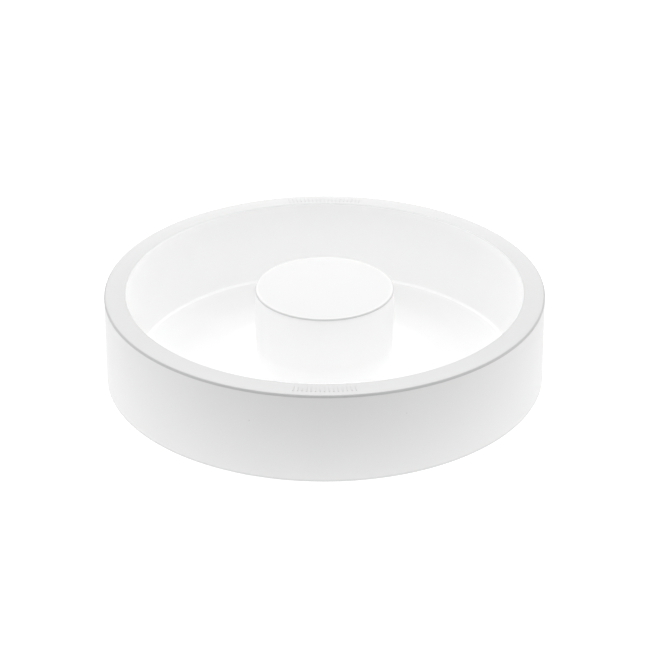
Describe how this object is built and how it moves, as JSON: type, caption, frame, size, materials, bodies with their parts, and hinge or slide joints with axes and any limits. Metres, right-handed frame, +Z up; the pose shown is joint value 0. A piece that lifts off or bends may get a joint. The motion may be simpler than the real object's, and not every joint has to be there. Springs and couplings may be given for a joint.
{
  "type": "lazy susan turntable",
  "caption": "Round white ring-shaped tray with a raised flat-topped hub, turning without limit on a ball bearing inside the hub and a low footed base.",
  "frame": {"origin": "on the table, under the middle of the hub, on the turning axis", "axes": "+Z up along the turning axis; the two rows of grip ribs on the rim are at -Y, the front, and +Y, the back"},
  "size_m": [0.2226, 0.2226, 0.0484],
  "materials": {
    "white_shell": "milky white, satin matt, very fine moulded grain",
    "base_plastic": "white, fine moulded grain",
    "bush_plastic": "natural acetal, smooth and waxy",
    "cage_plastic": "natural nylon, smooth",
    "bearing_steel": "turned and ground, light oil film",
    "ball_steel": "polished bearing balls",
    "screw_steel": "bright zinc plate",
    "insert_brass": "turned brass",
    "foot_rubber": "pale grey, matt, slightly tacky"
  },
  "bodies": {
    "base": {"base_plate": "base_plastic", "bearing_post": "base_plastic", "post_screws": "screw_steel", "threaded_insert": "insert_brass", "shoulder_screw": "screw_steel", "thrust_washer": "screw_steel", "lower_race": "bearing_steel", "foot_1": "foot_rubber", "foot_2": "foot_rubber", "foot_3": "foot_rubber", "foot_4": "foot_rubber", "foot_5": "foot_rubber", "foot_6": "foot_rubber"},
    "turntable": {"tray": "white_shell", "hub_cap": "white_shell", "upper_race": "bearing_steel", "centre_bush": "bush_plastic", "guide_ring": "bush_plastic"},
    "cage": {"ball_cage": "cage_plastic"},
    "ball_1": {"ball_1": "ball_steel"},
    "ball_2": {"ball_2": "ball_steel"},
    "ball_3": {"ball_3": "ball_steel"},
    "ball_4": {"ball_4": "ball_steel"},
    "ball_5": {"ball_5": "ball_steel"},
    "ball_6": {"ball_6": "ball_steel"},
    "ball_7": {"ball_7": "ball_steel"},
    "ball_8": {"ball_8": "ball_steel"},
    "ball_9": {"ball_9": "ball_steel"},
    "ball_10": {"ball_10": "ball_steel"},
    "ball_11": {"ball_11": "ball_steel"},
    "ball_12": {"ball_12": "ball_steel"}
  },
  "joints": [
    {"name": "tray_spin", "type": "hinge", "parent": "base", "child": "turntable", "pos_m": [0, 0, 0.033], "axis": [0, 0, 1], "continuous": true},
    {"name": "cage_turn", "type": "hinge", "parent": "base", "child": "cage", "pos_m": [0, 0, 0.033], "axis": [0, 0, 1], "continuous": true},
    {"name": "ball_1_roll", "type": "hinge", "parent": "cage", "child": "ball_1", "pos_m": [0.0165, 0, 0.033], "axis": [1, 0, 0], "continuous": true},
    {"name": "ball_2_roll", "type": "hinge", "parent": "cage", "child": "ball_2", "pos_m": [0.01429, 0.00825, 0.033], "axis": [0.866, 0.5, 0], "continuous": true},
    {"name": "ball_3_roll", "type": "hinge", "parent": "cage", "child": "ball_3", "pos_m": [0.00825, 0.01429, 0.033], "axis": [0.5, 0.866, 0], "continuous": true},
    {"name": "ball_4_roll", "type": "hinge", "parent": "cage", "child": "ball_4", "pos_m": [0, 0.0165, 0.033], "axis": [0, 1, 0], "continuous": true},
    {"name": "ball_5_roll", "type": "hinge", "parent": "cage", "child": "ball_5", "pos_m": [-0.00825, 0.01429, 0.033], "axis": [-0.5, 0.866, 0], "continuous": true},
    {"name": "ball_6_roll", "type": "hinge", "parent": "cage", "child": "ball_6", "pos_m": [-0.01429, 0.00825, 0.033], "axis": [-0.866, 0.5, 0], "continuous": true},
    {"name": "ball_7_roll", "type": "hinge", "parent": "cage", "child": "ball_7", "pos_m": [-0.0165, 0, 0.033], "axis": [-1, 0, 0], "continuous": true},
    {"name": "ball_8_roll", "type": "hinge", "parent": "cage", "child": "ball_8", "pos_m": [-0.01429, -0.00825, 0.033], "axis": [-0.866, -0.5, 0], "continuous": true},
    {"name": "ball_9_roll", "type": "hinge", "parent": "cage", "child": "ball_9", "pos_m": [-0.00825, -0.01429, 0.033], "axis": [-0.5, -0.866, 0], "continuous": true},
    {"name": "ball_10_roll", "type": "hinge", "parent": "cage", "child": "ball_10", "pos_m": [0, -0.0165, 0.033], "axis": [0, -1, 0], "continuous": true},
    {"name": "ball_11_roll", "type": "hinge", "parent": "cage", "child": "ball_11", "pos_m": [0.00825, -0.01429, 0.033], "axis": [0.5, -0.866, 0], "continuous": true},
    {"name": "ball_12_roll", "type": "hinge", "parent": "cage", "child": "ball_12", "pos_m": [0.01429, -0.00825, 0.033], "axis": [0.866, -0.5, 0], "continuous": true}
  ],
  "couplings": [
    {"joint": "cage_turn", "follows": "tray_spin", "ratio": 0.5},
    {"joint": "ball_1_roll", "follows": "tray_spin", "ratio": -2.75},
    {"joint": "ball_2_roll", "follows": "tray_spin", "ratio": -2.75},
    {"joint": "ball_3_roll", "follows": "tray_spin", "ratio": -2.75},
    {"joint": "ball_4_roll", "follows": "tray_spin", "ratio": -2.75},
    {"joint": "ball_5_roll", "follows": "tray_spin", "ratio": -2.75},
    {"joint": "ball_6_roll", "follows": "tray_spin", "ratio": -2.75},
    {"joint": "ball_7_roll", "follows": "tray_spin", "ratio": -2.75},
    {"joint": "ball_8_roll", "follows": "tray_spin", "ratio": -2.75},
    {"joint": "ball_9_roll", "follows": "tray_spin", "ratio": -2.75},
    {"joint": "ball_10_roll", "follows": "tray_spin", "ratio": -2.75},
    {"joint": "ball_11_roll", "follows": "tray_spin", "ratio": -2.75},
    {"joint": "ball_12_roll", "follows": "tray_spin", "ratio": -2.75}
  ]
}
